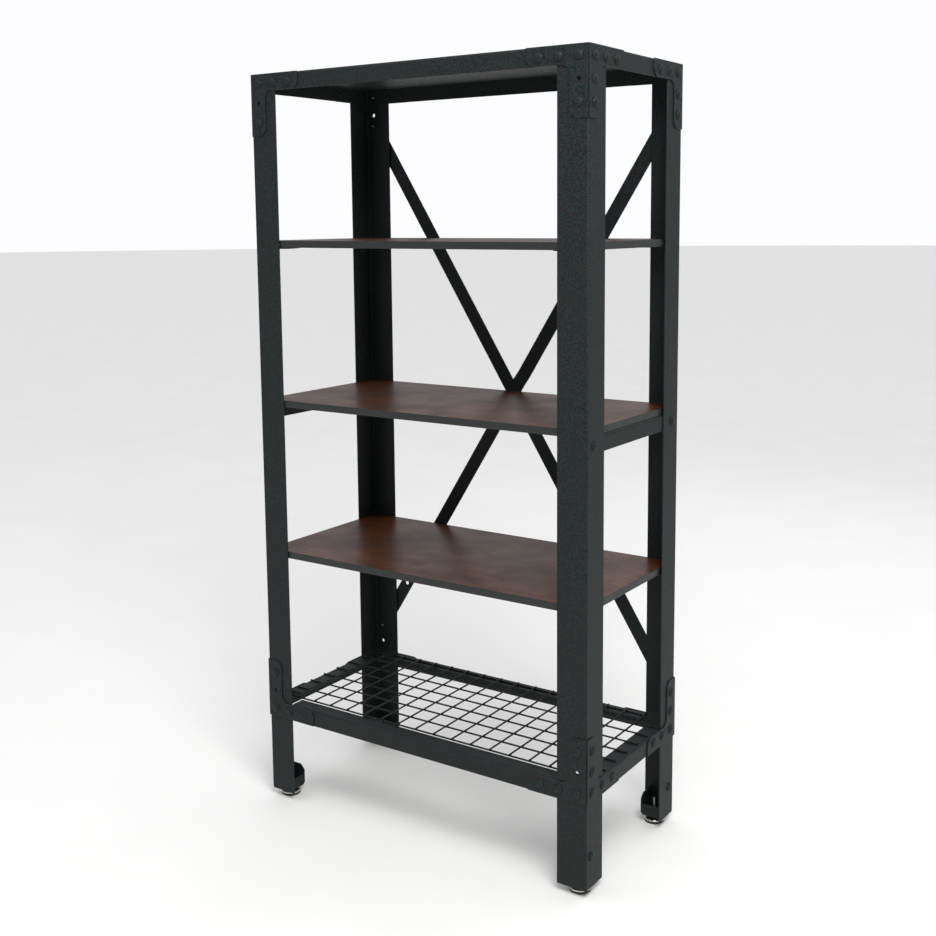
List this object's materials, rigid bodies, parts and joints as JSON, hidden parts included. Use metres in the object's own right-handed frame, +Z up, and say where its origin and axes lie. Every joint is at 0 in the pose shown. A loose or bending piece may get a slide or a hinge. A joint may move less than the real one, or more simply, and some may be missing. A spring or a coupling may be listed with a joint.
{
  "type": "bookcase with adjustable shelves",
  "caption": "Tall open bookcase with angle-iron posts, riveted corner plates, a crossed back brace, lift-off wood shelves and a wire bottom shelf on levelling feet.",
  "frame": {"origin": "on the floor, in the middle of the footprint", "axes": "+X along the width to the right, +Y from the front to the braced back, +Z up"},
  "size_m": [0.896, 0.436, 1.738],
  "materials": {
    "hammered_paint": "textured charcoal powder coat",
    "walnut_board": "satin dark walnut with black edging",
    "foot_pad": "matte black",
    "bright_steel": "nickel plated"
  },
  "bodies": {
    "root": {"post_front_left": "hammered_paint", "post_front_right": "hammered_paint", "post_rear_left": "hammered_paint", "post_rear_right": "hammered_paint", "top_rail_front": "hammered_paint", "top_rail_rear": "hammered_paint", "top_rail_left": "hammered_paint", "top_rail_right": "hammered_paint", "top_panel": "hammered_paint", "bottom_rail_front": "hammered_paint", "bottom_rail_rear": "hammered_paint", "bottom_rail_left": "hammered_paint", "bottom_rail_right": "hammered_paint", "wire_shelf_long_wires": "hammered_paint", "wire_shelf_cross_wires": "hammered_paint", "middle_shelf": "walnut_board", "middle_shelf_rail_left": "hammered_paint", "middle_shelf_rail_right": "hammered_paint", "top_plate_front_left": "hammered_paint", "top_plate_front_right": "hammered_paint", "top_plate_rear_left": "hammered_paint", "top_plate_rear_right": "hammered_paint", "top_plate_left_front": "hammered_paint", "top_plate_left_rear": "hammered_paint", "top_plate_right_front": "hammered_paint", "top_plate_right_rear": "hammered_paint", "bottom_plate_front_left": "hammered_paint", "bottom_plate_front_right": "hammered_paint", "bottom_plate_rear_left": "hammered_paint", "bottom_plate_rear_right": "hammered_paint", "bottom_plate_left_front": "hammered_paint", "bottom_plate_left_rear": "hammered_paint", "bottom_plate_right_front": "hammered_paint", "bottom_plate_right_rear": "hammered_paint", "cross_brace_straight": "hammered_paint", "cross_brace_cranked": "hammered_paint", "foot_bracket_front_left": "hammered_paint", "foot_bracket_front_right": "hammered_paint", "foot_bracket_rear_left": "hammered_paint", "foot_bracket_rear_right": "hammered_paint", "foot_weld_nuts": "bright_steel", "top_plate_rivets": "hammered_paint", "bottom_plate_rivets": "hammered_paint", "middle_shelf_rail_bolts": "hammered_paint", "foot_bracket_rivets": "hammered_paint", "cross_brace_bolts": "hammered_paint"},
    "upper_shelf_body": {"upper_shelf": "walnut_board"},
    "lower_shelf_body": {"lower_shelf": "walnut_board"},
    "upper_clip_front_left_body": {"upper_clip_front_left": "hammered_paint"},
    "upper_clip_front_right_body": {"upper_clip_front_right": "hammered_paint"},
    "upper_clip_rear_left_body": {"upper_clip_rear_left": "hammered_paint"},
    "upper_clip_rear_right_body": {"upper_clip_rear_right": "hammered_paint"},
    "lower_clip_front_left_body": {"lower_clip_front_left": "hammered_paint"},
    "lower_clip_front_right_body": {"lower_clip_front_right": "hammered_paint"},
    "lower_clip_rear_left_body": {"lower_clip_rear_left": "hammered_paint"},
    "lower_clip_rear_right_body": {"lower_clip_rear_right": "hammered_paint"},
    "foot_front_left_body": {"foot_front_left": "foot_pad"},
    "foot_front_right_body": {"foot_front_right": "foot_pad"},
    "foot_rear_left_body": {"foot_rear_left": "foot_pad"},
    "foot_rear_right_body": {"foot_rear_right": "foot_pad"}
  },
  "joints": [
    {"name": "upper_shelf_lift", "type": "slide", "parent": "root", "child": "upper_shelf_body", "axis": [0, 0, 1], "range_m": [0, 0.25]},
    {"name": "lower_shelf_lift", "type": "slide", "parent": "root", "child": "lower_shelf_body", "axis": [0, 0, 1], "range_m": [0, 0.3]},
    {"name": "upper_clip_front_left_pull", "type": "slide", "parent": "root", "child": "upper_clip_front_left_body", "axis": [1, 0, 0], "range_m": [0, 0.012]},
    {"name": "upper_clip_front_right_pull", "type": "slide", "parent": "root", "child": "upper_clip_front_right_body", "axis": [-1, 0, 0], "range_m": [0, 0.012]},
    {"name": "upper_clip_rear_left_pull", "type": "slide", "parent": "root", "child": "upper_clip_rear_left_body", "axis": [1, 0, 0], "range_m": [0, 0.012]},
    {"name": "upper_clip_rear_right_pull", "type": "slide", "parent": "root", "child": "upper_clip_rear_right_body", "axis": [-1, 0, 0], "range_m": [0, 0.012]},
    {"name": "lower_clip_front_left_pull", "type": "slide", "parent": "root", "child": "lower_clip_front_left_body", "axis": [1, 0, 0], "range_m": [0, 0.012]},
    {"name": "lower_clip_front_right_pull", "type": "slide", "parent": "root", "child": "lower_clip_front_right_body", "axis": [-1, 0, 0], "range_m": [0, 0.012]},
    {"name": "lower_clip_rear_left_pull", "type": "slide", "parent": "root", "child": "lower_clip_rear_left_body", "axis": [1, 0, 0], "range_m": [0, 0.012]},
    {"name": "lower_clip_rear_right_pull", "type": "slide", "parent": "root", "child": "lower_clip_rear_right_body", "axis": [-1, 0, 0], "range_m": [0, 0.012]},
    {"name": "foot_front_left_level", "type": "slide", "parent": "root", "child": "foot_front_left_body", "axis": [0, 0, -1], "range_m": [0, 0.012]},
    {"name": "foot_front_right_level", "type": "slide", "parent": "root", "child": "foot_front_right_body", "axis": [0, 0, -1], "range_m": [0, 0.012]},
    {"name": "foot_rear_left_level", "type": "slide", "parent": "root", "child": "foot_rear_left_body", "axis": [0, 0, -1], "range_m": [0, 0.012]},
    {"name": "foot_rear_right_level", "type": "slide", "parent": "root", "child": "foot_rear_right_body", "axis": [0, 0, -1], "range_m": [0, 0.012]}
  ]
}
